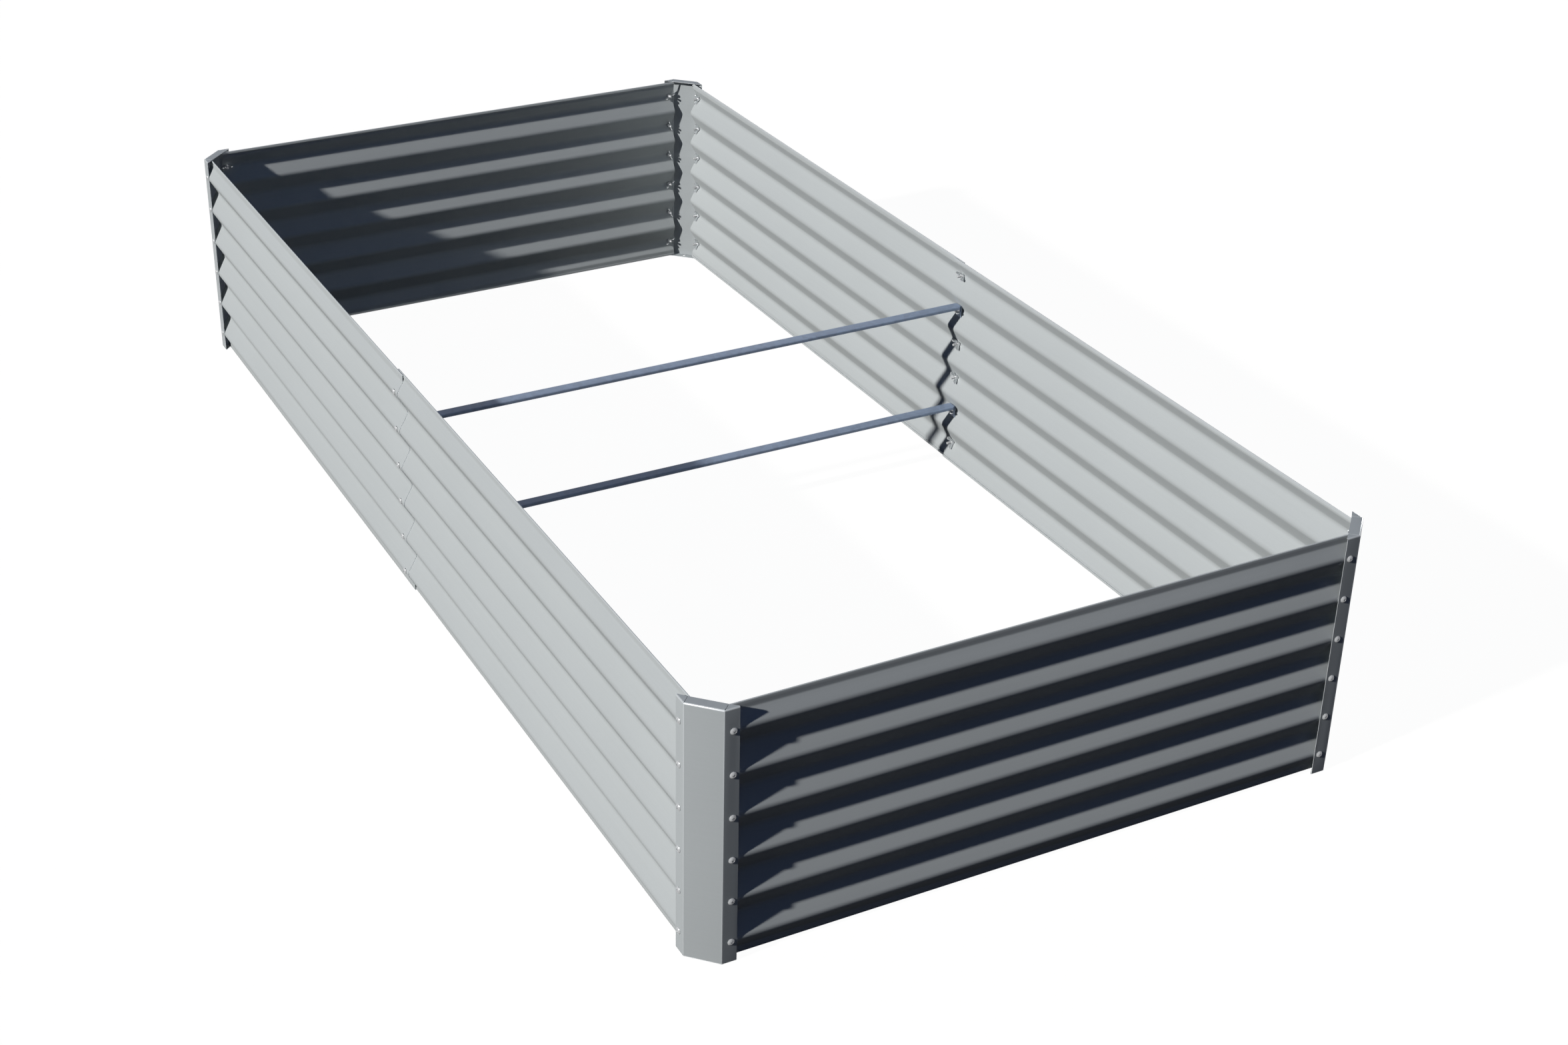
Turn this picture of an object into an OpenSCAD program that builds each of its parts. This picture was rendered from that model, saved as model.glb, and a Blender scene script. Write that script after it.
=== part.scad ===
// Raised garden bed: six corrugated sheet panels, four folded corner posts,
// two cross braces, and a pan head screw with a wing nut at every joint.
// X runs along the bed, Y across it and Z up. The origin is the middle of
// the footprint, on the ground. Front is the +X end, left is the -Y side.

/* [Bed] */
// Overall length, over the flanges of the posts
bed_l = 2250; // [1600:10:3000]
// Overall width, over the flanges of the posts
bed_w = 1100; // [800:10:1600]
// Height of the corner posts, and so of the bed
bed_h = 410; // [390:5:450]
// How far the laps of the long sides lie in front of the middle
lap_x = 8; // [-60:1:60]

/* [Corrugated panels] */
// Thickness of the panel sheet
panel_t = 0.8; // [0.5:0.1:1.0]
// Outward crests in the height, each with one row of screws
rows = 6; // [5:1:7]
// Height of the lowest screw row, and depth of the highest below the top
edge_rise = 35; // [33:0.5:38]
// Depth of the corrugation, sheet middle to sheet middle
corr_depth = 16; // [14:0.5:18]
// Bend radius of crests and valleys, to the middle of the sheet
corr_r = 11; // [9:0.5:12]
// Depth of the flat strips along the top and the bottom edge
strip_depth = 10.6; // [9:0.2:12]
// Bend radius between the edge strip and the first flank
strip_r = 6; // [4:0.5:8]
// Open gap inside the folded hem
hem_gap = 1; // [0.4:0.1:1.4]
// Length of the hem's flap below its fold
hem_flap = 3.5; // [2:0.5:5]
// Gap between the end of a long panel and the post's fold
side_end_gap = 3; // [1:0.5:6]
// Gap between the end of an end panel and the post's fold
end_end_gap = 6; // [1:0.5:9]
// Reach of the outer panel past the screws of a lap
lap_outer = 15; // [9:0.5:24]
// Reach of the inner panel past the screws of a lap
lap_inner = 12; // [11:0.5:24]

/* [Corner posts] */
// Thickness of the post sheet
post_t = 1; // [0.8:0.1:1.5]
// Width of the slanted face, between its two folds
facet_w = 55; // [45:1:80]
// Width of a flange, from its fold to its free edge
flange_w = 22.5; // [20:0.5:30]
// Inner radius of the folds
post_bend = 1; // [0.6:0.1:1.5]
// Distance of a flange's screws from its fold
flange_hole = 13.5; // [11.5:0.5:15]
// Depth of the lips at the ends of the slanted face
facet_lip = 17; // [14:0.5:20]
// Depth of a flange's lips at its free edge
flange_lip_end = 2.5; // [2.5:0.5:9]
// Slit between neighbouring lips
lip_slit = 0.8; // [0.4:0.1:1.5]
// Radius of the anchor hole in each foot lip
anchor_r = 3; // [2:0.5:4]
// Distance of the anchor hole from the outside of the slanted face
anchor_in = 10; // [8:0.5:11]

/* [Cross braces] */
// Thickness of the brace sheet
brace_t = 1.2; // [0.8:0.1:1.5]
// Width of a brace
brace_w = 20; // [16:0.5:24]
// Height of a brace's side legs
brace_leg = 6; // [4:0.5:7]
// Inner radius of the brace's folds
brace_bend = 1; // [0.6:0.1:1.5]
// Height of a brace's top above its screws
brace_rise = 12; // [10:0.5:14]
// Length without side legs at each end of a brace
brace_trim = 5; // [2.5:0.5:30]

/* [Fasteners] */
// Radius of the screw's shank
screw_r = 2.45; // [1.9:0.05:2.9]
// Length of the screw under its head
screw_l = 16; // [16:0.5:25]
// Radius of the screw's head
head_r = 5.2; // [4.5:0.1:6]
// Height of the whole head
head_h = 3; // [2.6:0.1:3.6]
// Height of the head's straight rim
head_rim = 0.6; // [0.3:0.1:1]
// Length of the cross recess in the head
cross_l = 5; // [4:0.1:6]
// Width of the cross recess
cross_w = 1.4; // [0.8:0.1:1.4]
// Depth of the cross recess
cross_d = 1.5; // [1:0.1:1.8]
// Radius of the wing nut's hub where it seats
hub_r = 4.5; // [4:0.1:5]
// Radius of the hub between the wings
hub_top_r = 3.7; // [3.5:0.1:4]
// Height of the hub
hub_h = 5; // [4:0.1:6]
// Span over the tips of both wings
wing_span = 24; // [20:0.5:26]
// Height of the wing tips above the seat
wing_h = 11; // [9.5:0.1:12]
// Radius of a rounded wing tip
tip_r = 3.2; // [2.4:0.1:3.5]
// Radius of a wing's root, where it leaves the hub
root_r = 1.9; // [1.6:0.1:2.4]
// Distance of a wing's root from the seat and from the nut's axis
root_clear = 0.05; // [0.05:0.05:0.3]
// Thickness of a wing
wing_t = 1.8; // [1.2:0.1:2.4]

/* [Clearances] */
// Play between a panel and the flange it lies against
seat_gap = 0.1; // [0.05:0.05:0.3]
// Play between the two panels of a lap, along their depth
lap_gap = 0.1; // [0.05:0.05:0.3]
// Play above and below a panel, between the posts' lips
lip_gap = 0.5; // [0.2:0.1:0.8]
// Play of a screw in its hole, on the radius
hole_gap = 0.35; // [0.2:0.05:0.5]
// Play of the thread in the nut, on the radius
thread_gap = 0.05; // [0.02:0.01:0.1]
// Play under a head or nut that sits on a curved crest
crest_gap = 0.05; // [0.03:0.01:0.1]
// Play between a brace's tab and the flanks it bridges
tab_gap = 0.1; // [0.05:0.05:0.3]

/* [Hidden] */
$fn = 48;

// Overrun of every cut past the face it opens
cut = 1;
// Straight pieces in one bend of the sheet
bend_steps = 8;
hem_steps = 6;
// Turn of the wings from one nut to the next, in degrees
nut_turn_step = 47;
aligned_turn_step = 3;
// Turn of the lowest nut of a lap, and from there to the next ones
lap_turn_first = 68;
lap_turn_step = -8.4;
// Turns at the right end of the rear wall, from the lowest nut up
rear_right_turns = [33, 115, 38, 111, 108, 27];
paint = "#bfc4c6";
zinc = "#d8dce0";
galvanised = "#a9b4bb";

// Screw rows and the shape of the corrugation
pitch = (bed_h - 2 * edge_rise) / (rows - 1);
half_pitch = pitch / 2;
centre_in = 2 * corr_r - corr_depth;
flank_l = sqrt(pow(half_pitch, 2) + pow(centre_in, 2) - pow(2 * corr_r, 2));
flank_a = atan(2 * corr_r / flank_l) - atan(centre_in / half_pitch);
crest_in = corr_r - panel_t / 2;
hem_r = (hem_gap + panel_t) / 2;
hem_w = hem_gap + 2 * panel_t;
panel_low = post_t + lip_gap;
panel_high = bed_h - panel_low;

// Depths are measured inwards from the outside of the post flanges
panel_y = post_t + seat_gap;
lap_shift = panel_t / cos(flank_a) + lap_gap;
inner_strip = strip_depth + hem_w + lap_gap - lap_shift;
cup = crest_in - sqrt(pow(crest_in, 2) - pow(hub_r, 2)) + crest_gap;
post_nut_y = panel_y + panel_t + cup;
lap_head_y = panel_y - crest_gap;
lap_nut_y = panel_y + lap_shift + panel_t + cup;
tab_y = panel_y + lap_shift + flank_face(brace_rise) + tab_gap;
brace_nut_y = tab_y + brace_t;

// Places along the walls
fold = facet_w / sqrt(2);
side_screw_x = bed_l / 2 - fold - flange_hole;
end_screw_x = bed_w / 2 - fold - flange_hole;
side_panel_x = bed_l / 2 - fold - side_end_gap;
end_panel_x = bed_w / 2 - fold - end_end_gap;
toe_in = atan(lap_shift / (side_screw_x - lap_x));
brace_rows = [1, rows - 2];
post_outer = post_bend + post_t;
setback = post_outer * tan(45 / 2);
tab_w = brace_w - 2 * (brace_bend + brace_t);

function row_z(k) = edge_rise + k * pitch;

// Depth of the sheet's inner face on a flank, at a height above its crest
function flank_face(z) = panel_t / 2 + corr_r * (1 - cos(flank_a))
    + (z - corr_r * sin(flank_a)) * tan(flank_a) + panel_t / 2 / cos(flank_a);

// A bend of a sheet's middle line, as [y, z, left normal y, left normal z]
function bend(cy, cz, r, a, b, steps) = let (s = a < b ? -1 : 1)
    [for (i = [0:steps]) let (t = a + (b - a) * i / steps)
        [cy + r * cos(t), cz + r * sin(t), s * cos(t), s * sin(t)]];

// Closed outline of a sheet of thickness t that follows a middle line
function sheet(line, t) = concat(
    [for (p = line) [p[0] + p[2] * t / 2, p[1] + p[3] * t / 2]],
    [for (i = [len(line) - 1:-1:0])
        [line[i][0] - line[i][2] * t / 2, line[i][1] - line[i][3] * t / 2]]);

// Height from a crest to the centre of the bend into the edge strip
function strip_rise(strip) = (corr_r + strip_r) * sin(flank_a)
    + (strip - (corr_r + strip_r) * (1 - cos(flank_a))) / tan(flank_a);

// Middle line of a panel from the lower hem to the upper one, crests at y 0
function panel_line(strip) = let (
        low = panel_low + panel_t / 2 + hem_r,
        high = panel_high - panel_t / 2 - hem_r,
        flap_y = strip + 2 * hem_r,
        bend_y = strip - strip_r,
        rise = strip_rise(strip))
    concat(
        [[flap_y, low + hem_flap, 1, 0]],
        bend(strip + hem_r, low, hem_r, 0, -180, hem_steps),
        bend(bend_y, row_z(0) - rise, strip_r, 0, flank_a, bend_steps / 2),
        [for (k = [0:rows - 1]) each concat(
            bend(corr_r, row_z(k), corr_r, 180 + flank_a, 180 - flank_a, bend_steps),
            k == rows - 1 ? [] : bend(corr_depth - corr_r, row_z(k) + half_pitch,
                corr_r, -flank_a, flank_a, bend_steps))],
        bend(bend_y, row_z(rows - 1) + rise, strip_r, -flank_a, 0, bend_steps / 2),
        bend(strip + hem_r, high, hem_r, 180, 0, hem_steps),
        [[flap_y, high - hem_flap, 1, 0]]);

// Middle line of an upside-down channel whose outside is w wide and h high,
// with its top at z 0
function channel_line(w, h, t, bend_in) = let (r = bend_in + t / 2, c = bend_in + t)
    concat(
        [[t / 2 - w / 2, -h, -1, 0]],
        bend(c - w / 2, -c, r, 180, 90, hem_steps),
        bend(w / 2 - c, -c, r, 90, 0, hem_steps),
        [[w / 2 - t / 2, -h, 1, 0]]);

// Plan of one flange and its fold at radius r, at depth y, from its free edge
// moved out by past; the bed's corner point is the origin
function half_plan(y, r, past) = concat(
    [[-fold - flange_w - past, y]],
    [for (p = bend(-fold - setback, post_outer, r, -90, -45, bend_steps / 2)) [p[0], p[1]]]);

// The same points mirrored to the other flange, in the order that goes on
function other_half(points) =
    [for (i = [len(points) - 1:-1:0]) [-points[i][1], -points[i][0]]];

// Stands an outline drawn in depth and height along X, over length l
module along_x(l) {
    rotate([90, 0, 90]) linear_extrude(l) children();
}

// Places a child drawn on the left wall, outside of the flanges at y 0
module on_left() {
    translate([0, -bed_w / 2, 0]) children();
}

module on_right() {
    mirror([0, 1, 0]) on_left() children();
}

module on_front() {
    rotate([0, 0, 90]) translate([0, -bed_l / 2, 0]) children();
}

module on_rear() {
    rotate([0, 0, -90]) translate([0, -bed_l / 2, 0]) children();
}

// A row of screw holes through a wall, drilled inwards from y 0 less cut
module drill_rows(x, reach) {
    for (k = [0:rows - 1]) {
        translate([x, -cut, row_z(k)]) rotate([-90, 0, 0])
            cylinder(r = screw_r + hole_gap, h = reach + 2 * cut);
    }
}

// A corrugated panel from x0 to x1, crests at y 0, screw columns at holes
module panel(x0, x1, strip, holes) {
    difference() {
        translate([x0, 0, 0]) along_x(x1 - x0)
            translate([panel_t / 2, 0]) polygon(sheet(panel_line(strip), panel_t));
        for (x = holes) drill_rows(x, panel_t);
    }
}

// The rear panel of a long side: it lies square on the post's flange
module side_panel_rear() {
    color(paint) translate([0, panel_y, 0])
        panel(-side_panel_x, lap_x + lap_outer, strip_depth, [-side_screw_x, lap_x]);
}

// The front panel tucks inside the rear one, so it is toed in by the sheet
module side_panel_front() {
    color(paint) translate([side_screw_x, panel_y, 0]) rotate([0, 0, -toe_in])
        translate([-side_screw_x, 0, 0])
            panel(lap_x - lap_inner, side_panel_x, inner_strip, [lap_x, side_screw_x]);
}

module end_panel() {
    color(paint) translate([0, panel_y, 0])
        panel(-end_panel_x, end_panel_x, strip_depth, [-end_screw_x, end_screw_x]);
}

// Plan of the post with its lips. A flange's lip narrows to the free edge.
module lip_plan() {
    outside = half_plan(0, post_outer, 0);
    inside = [
        [-fold - facet_lip * sin(45), facet_lip * sin(45)],
        [-fold - flange_w, flange_lip_end]];
    polygon(concat(outside, other_half(outside), other_half(inside), inside));
}

// Plan of the space inside the post's walls, open to the bed
module post_space() {
    wall = half_plan(post_t, post_bend, cut);
    far = fold + flange_w + cut;
    polygon(concat(wall, other_half(wall), [[-far, far]]));
}

// What a lip's fold leaves free outside of its round, l long, centred on x 0
module edge_round(l) {
    c = post_outer;
    round = [for (p = bend(c, c, c, 270, 180, hem_steps)) [p[0], p[1]]];
    translate([-l / 2, 0, 0]) along_x(l)
        polygon(concat([[-cut, c], [-cut, -cut], [c, -cut]], round));
}

// The slits beside the lip of the slanted face, cut through the lip's sheet
module lip_slits() {
    for (side = [-1, 1]) {
        translate([side * facet_w / 2 - lip_slit / 2, post_outer, -cut])
            cube([lip_slit, facet_lip, post_t + 2 * cut]);
    }
}

// All cuts at one end of a post: rounds of the folds, and the slits
module post_end_cuts() {
    flange_l = 2 * (flange_w + cut);
    for (side = [0, 1]) {
        mirror([side, side, 0]) translate([-fold - flange_w / 2, 0, 0]) edge_round(flange_l);
    }
    at_facet() {
        edge_round(facet_w + 2 * cut);
        lip_slits();
    }
}

// Places a child drawn on the slanted face: outside at y 0, centred on x 0
module at_facet() {
    translate([-fold / 2, fold / 2, 0]) rotate([0, 0, 45]) children();
}

// A folded corner post, with the bed's corner point at the origin
module corner_post() {
    color(paint) difference() {
        linear_extrude(bed_h) lip_plan();
        translate([0, 0, post_t]) linear_extrude(bed_h - 2 * post_t) post_space();
        post_end_cuts();
        translate([0, 0, bed_h]) mirror([0, 0, 1]) post_end_cuts();
        drill_rows(-fold - flange_hole, post_t);
        mirror([1, 1, 0]) drill_rows(-fold - flange_hole, post_t);
        at_facet() translate([0, anchor_in, -cut]) cylinder(r = anchor_r, h = post_t + 2 * cut);
    }
}

// A cross brace at screw row k: a flat strip with a tab bent down at each
// end, and side legs folded down along the strip between the end trims
module cross_brace(k) {
    reach = bed_w - 2 * tab_y;
    legs = reach - 2 * brace_trim;
    color(galvanised) translate([lap_x, 0, row_z(k) + brace_rise]) {
        difference() {
            translate([-tab_w / 2, 0, 0]) along_x(tab_w)
                polygon(sheet(channel_line(reach, 2 * brace_rise, brace_t, brace_bend), brace_t));
            translate([0, -reach / 2 - cut, -brace_rise]) rotate([-90, 0, 0])
                cylinder(r = screw_r + hole_gap, h = reach + 2 * cut);
        }
        translate([0, legs / 2, 0]) rotate([90, 0, 0]) linear_extrude(legs) difference() {
            polygon(sheet(channel_line(brace_w, brace_leg, brace_t, brace_bend), brace_t));
            translate([-tab_w / 2, -brace_leg - cut]) square([tab_w, brace_leg + 2 * cut]);
        }
    }
}

// A pan head screw: the head's seat at y 0, its shank along +Y
module screw() {
    cap_h = head_h - head_rim;
    cap_r = (pow(head_r, 2) + pow(cap_h, 2)) / (2 * cap_h);
    rotate([90, 0, 0]) {
        difference() {
            union() {
                cylinder(r = head_r, h = head_rim);
                intersection() {
                    translate([0, 0, head_h - cap_r]) sphere(r = cap_r);
                    translate([0, 0, head_rim]) cylinder(r = head_r, h = head_h);
                }
            }
            for (a = [0, 90]) {
                rotate([0, 0, a]) translate([-cross_l / 2, -cross_w / 2, head_h - cross_d])
                    cube([cross_l, cross_w, cross_d + cut]);
            }
        }
        translate([0, 0, -screw_l]) cylinder(r = screw_r, h = screw_l);
    }
}

// One wing in its own plane: two rounds and the web that joins them
module wing_outline() {
    a = (root_r + root_clear) * [1, 1];
    b = [wing_span / 2 - tip_r, wing_h - tip_r];
    slope = atan2(b[1] - a[1], b[0] - a[0]);
    side = acos((root_r - tip_r) / norm(b - a));
    translate(a) circle(r = root_r);
    translate(b) circle(r = tip_r);
    polygon([
        a + root_r * [cos(slope + side), sin(slope + side)],
        a + root_r * [cos(slope - side), sin(slope - side)],
        b + tip_r * [cos(slope - side), sin(slope - side)],
        b + tip_r * [cos(slope + side), sin(slope + side)]]);
}

// A wing nut: its seat at y 0, the wings rising along +Y
module wing_nut() {
    difference() {
        union() {
            rotate([-90, 0, 0]) cylinder(r1 = hub_r, r2 = hub_top_r, h = hub_h);
            for (m = [0, 1]) {
                mirror([m, 0, 0]) translate([0, 0, -wing_t / 2])
                    linear_extrude(wing_t) wing_outline();
            }
        }
        translate([0, -cut, 0]) rotate([-90, 0, 0])
            cylinder(r = screw_r + thread_gap, h = wing_h + 2 * cut);
    }
}

// A column of screws at x on a wall, their heads seated at depth y
module screw_column(x, y) {
    color(zinc) for (k = [0:rows - 1]) {
        translate([x, y, row_z(k)]) screw();
    }
}

// Depth of the nut's seat at row k of a lap: the brace's tab lifts it
function lap_seat(k) = k == brace_rows[0] || k == brace_rows[1] ? brace_nut_y : lap_nut_y;

// Turn of the wings: level under a brace, otherwise as they were left
function lap_turn(k) = k == brace_rows[0] || k == brace_rows[1] ? 0
    : lap_turn_first + lap_turn_step * k;

// Turns of a post's column of nuts, from the lowest nut up
function stepped(first, step = nut_turn_step) = [for (k = [0:rows - 1]) first + step * k];

// Column of wing nuts against a post's flange
module post_nuts(x, turns) {
    color(zinc) for (k = [0:rows - 1]) {
        translate([x, post_nut_y, row_z(k)]) rotate([0, turns[k % len(turns)], 0]) wing_nut();
    }
}

module lap_nuts() {
    color(zinc) for (k = [0:rows - 1]) {
        translate([lap_x, lap_seat(k), row_z(k)]) rotate([0, lap_turn(k), 0]) wing_nut();
    }
}

module side_panel_left_front() { on_left() side_panel_front(); }
module side_panel_left_rear() { on_left() side_panel_rear(); }
module side_panel_right_front() { on_right() side_panel_front(); }
module side_panel_right_rear() { on_right() side_panel_rear(); }
module end_panel_front() { on_front() end_panel(); }
module end_panel_rear() { on_rear() end_panel(); }
module corner_post_front_left() { translate([bed_l / 2, -bed_w / 2, 0]) corner_post(); }
module corner_post_front_right() { mirror([0, 1, 0]) corner_post_front_left(); }
module corner_post_rear_left() { mirror([1, 0, 0]) corner_post_front_left(); }
module corner_post_rear_right() { mirror([1, 0, 0]) corner_post_front_right(); }
module cross_brace_upper() { cross_brace(brace_rows[1]); }
module cross_brace_lower() { cross_brace(brace_rows[0]); }
module screws_left_front() { on_left() screw_column(side_screw_x, 0); }
module screws_left_lap() { on_left() screw_column(lap_x, lap_head_y); }
module screws_left_rear() { on_left() screw_column(-side_screw_x, 0); }
module screws_right_front() { on_right() screw_column(side_screw_x, 0); }
module screws_right_lap() { on_right() screw_column(lap_x, lap_head_y); }
module screws_right_rear() { on_right() screw_column(-side_screw_x, 0); }
module screws_front_left() { on_front() screw_column(-end_screw_x, 0); }
module screws_front_right() { on_front() screw_column(end_screw_x, 0); }
module screws_rear_left() { on_rear() screw_column(end_screw_x, 0); }
module screws_rear_right() { on_rear() screw_column(-end_screw_x, 0); }
module wing_nuts_left_front() { on_left() post_nuts(side_screw_x, stepped(20)); }
module wing_nuts_left_lap() { on_left() lap_nuts(); }
module wing_nuts_left_rear() { on_left() post_nuts(-side_screw_x, stepped(80)); }
module wing_nuts_right_front() { on_right() post_nuts(side_screw_x, stepped(35)); }
module wing_nuts_right_lap() { on_right() lap_nuts(); }
module wing_nuts_right_rear() {
    on_right() post_nuts(-side_screw_x, stepped(88, aligned_turn_step));
}
module wing_nuts_front_left() { on_front() post_nuts(-end_screw_x, stepped(35)); }
module wing_nuts_front_right() { on_front() post_nuts(end_screw_x, stepped(5)); }
module wing_nuts_rear_left() { on_rear() post_nuts(end_screw_x, stepped(125)); }
module wing_nuts_rear_right() { on_rear() post_nuts(-end_screw_x, rear_right_turns); }

side_panel_left_front();
side_panel_left_rear();
side_panel_right_front();
side_panel_right_rear();
end_panel_front();
end_panel_rear();
corner_post_front_left();
corner_post_front_right();
corner_post_rear_left();
corner_post_rear_right();
cross_brace_upper();
cross_brace_lower();
screws_left_front();
screws_left_lap();
screws_left_rear();
screws_right_front();
screws_right_lap();
screws_right_rear();
screws_front_left();
screws_front_right();
screws_rear_left();
screws_rear_right();
wing_nuts_left_front();
wing_nuts_left_lap();
wing_nuts_left_rear();
wing_nuts_right_front();
wing_nuts_right_lap();
wing_nuts_right_rear();
wing_nuts_front_left();
wing_nuts_front_right();
wing_nuts_rear_left();
wing_nuts_rear_right();
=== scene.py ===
"""Looks of a raised garden bed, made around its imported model.

Sizes are in metres in the model's frame: X along the bed, Y across it, Z up. Front is
the +X end and left the -Y side. A wall's pieces are first made in wall coordinates:
x along the wall, y inwards from the outside of the post flanges, z up.
"""

from __future__ import annotations

import logging
import math
from dataclasses import dataclass
from enum import Enum
from itertools import accumulate
from typing import Any, Sequence

import bmesh
import bpy
from bmesh.types import BMesh, BMFace, BMVert
from bpy.types import ID, Material, Mesh, Node, NodeSocket, NodeTree, Object
from mathutils import Matrix, Vector


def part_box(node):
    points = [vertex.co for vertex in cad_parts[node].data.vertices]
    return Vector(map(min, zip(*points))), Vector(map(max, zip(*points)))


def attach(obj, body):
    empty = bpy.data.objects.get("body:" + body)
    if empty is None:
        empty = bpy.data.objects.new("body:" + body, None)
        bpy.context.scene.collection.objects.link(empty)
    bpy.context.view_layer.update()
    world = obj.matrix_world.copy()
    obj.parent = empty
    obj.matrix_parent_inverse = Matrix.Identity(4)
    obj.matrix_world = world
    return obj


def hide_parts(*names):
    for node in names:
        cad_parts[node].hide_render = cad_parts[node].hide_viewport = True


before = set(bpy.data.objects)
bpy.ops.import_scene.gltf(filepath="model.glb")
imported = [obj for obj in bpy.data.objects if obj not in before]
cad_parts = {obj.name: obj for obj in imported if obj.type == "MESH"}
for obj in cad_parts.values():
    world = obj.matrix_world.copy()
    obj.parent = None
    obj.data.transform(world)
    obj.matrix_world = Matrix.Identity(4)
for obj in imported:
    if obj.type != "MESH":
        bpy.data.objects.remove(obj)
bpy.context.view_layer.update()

LOG = logging.getLogger("garden_bed")
BODY = "root"
MM = 0.001
WELD = 2e-6  # points closer than this become one
OVERSHOOT = 1 * MM  # how far a cutting tool stands past what it cuts
SMOOTH_BELOW = math.radians(38)  # edges bent less than this are shaded smooth
ROUND_SIDES = 24
SOFT_STEPS = 2  # faces across a softened edge
SOCKETS = {float: "NodeSocketFloat", int: "NodeSocketInt",
           Material: "NodeSocketMaterial"}
Triple = tuple[float, float, float]  # a colour or a direction
Sockets = dict[str | int, Any]


class Value:
    """A number in a node tree, on which Python's operators add Math nodes."""

    def __init__(self, graph: Graph, socket: NodeSocket) -> None:
        """Wraps an output socket of the graph."""
        self.graph = graph
        self.socket = socket

    def apply(self, operation: str, *others: Number) -> Value:
        """Any Math operation on this value."""
        return self.graph.math(operation, self, *others)

    def __add__(self, other: Number) -> Value:
        """Sum."""
        return self.apply("ADD", other)

    def __sub__(self, other: Number) -> Value:
        """Difference."""
        return self.apply("SUBTRACT", other)

    def __rsub__(self, other: Number) -> Value:
        """Difference, the other way round."""
        return self.graph.math("SUBTRACT", other, self)

    def __mul__(self, other: Number) -> Value:
        """Product."""
        return self.apply("MULTIPLY", other)

    def __truediv__(self, other: Number) -> Value:
        """Quotient."""
        return self.apply("DIVIDE", other)

    def __rtruediv__(self, other: Number) -> Value:
        """Quotient, the other way round."""
        return self.graph.math("DIVIDE", other, self)

    __radd__ = __add__
    __rmul__ = __mul__

    def between(self, low: Number = 0.0, high: Number = 1.0) -> Value:
        """This value, held between two limits."""
        return self.apply("MAXIMUM", low).apply("MINIMUM", high)


Number = Value | float


def blend(values: Sequence[Value], shares: Sequence[float]) -> Value:
    """The sum of some values, each times its share."""
    return sum(value * share for value, share in zip(values, shares))


class Graph:
    """A node tree that is written as Python expressions."""

    def __init__(self, tree: NodeTree) -> None:
        """Starts on an empty tree."""
        self.tree = tree
        tree.nodes.clear()

    def add(self, kind: str, sockets: Sockets | None = None, **settings: Any) -> Node:
        """Adds a node.

        Args:
            kind: The node's type name.
            sockets: Values or links of its inputs, by name or place.
            **settings: Attributes of the node, which are set first.

        Returns:
            The new node.
        """
        node = self.tree.nodes.new(kind)
        for name, value in settings.items():
            setattr(node, name, value)
        self.feed(node, sockets or {})
        return node

    def feed(self, node: Node, sockets: Sockets) -> None:
        """Links a node's inputs or sets them to constants.

        Args:
            node: The node.
            sockets: Values or links by name or place; a node gives its first output.
        """
        for key, value in sockets.items():
            if isinstance(value, Value):
                value = value.socket
            if isinstance(value, Node):
                value = value.outputs[0]
            if isinstance(value, NodeSocket):
                self.tree.links.new(value, node.inputs[key])
            else:
                node.inputs[key].default_value = value

    def math(self, operation: str, *values: Number) -> Value:
        """A Math node on up to three values."""
        sockets = dict(enumerate(values))
        return self.value(self.add("ShaderNodeMath", sockets, operation=operation))

    def value(self, node: Node, output: str | int = 0) -> Value:
        """An output of a node, as a number."""
        return Value(self, node.outputs[output])

    def mix(self, factor: Number, a: Any, b: Any) -> NodeSocket:
        """A colour between two colours, which are a Mix node's inputs 6 and 7."""
        sockets = {0: factor, 6: a, 7: b}
        return self.add("ShaderNodeMix", sockets, data_type="RGBA").outputs[2]

    def vector(self, x: Number = 0.0, y: Number = 0.0, z: Number = 0.0) -> Node:
        """Three numbers as a vector."""
        return self.add("ShaderNodeCombineXYZ", {0: x, 1: y, 2: z})


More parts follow.
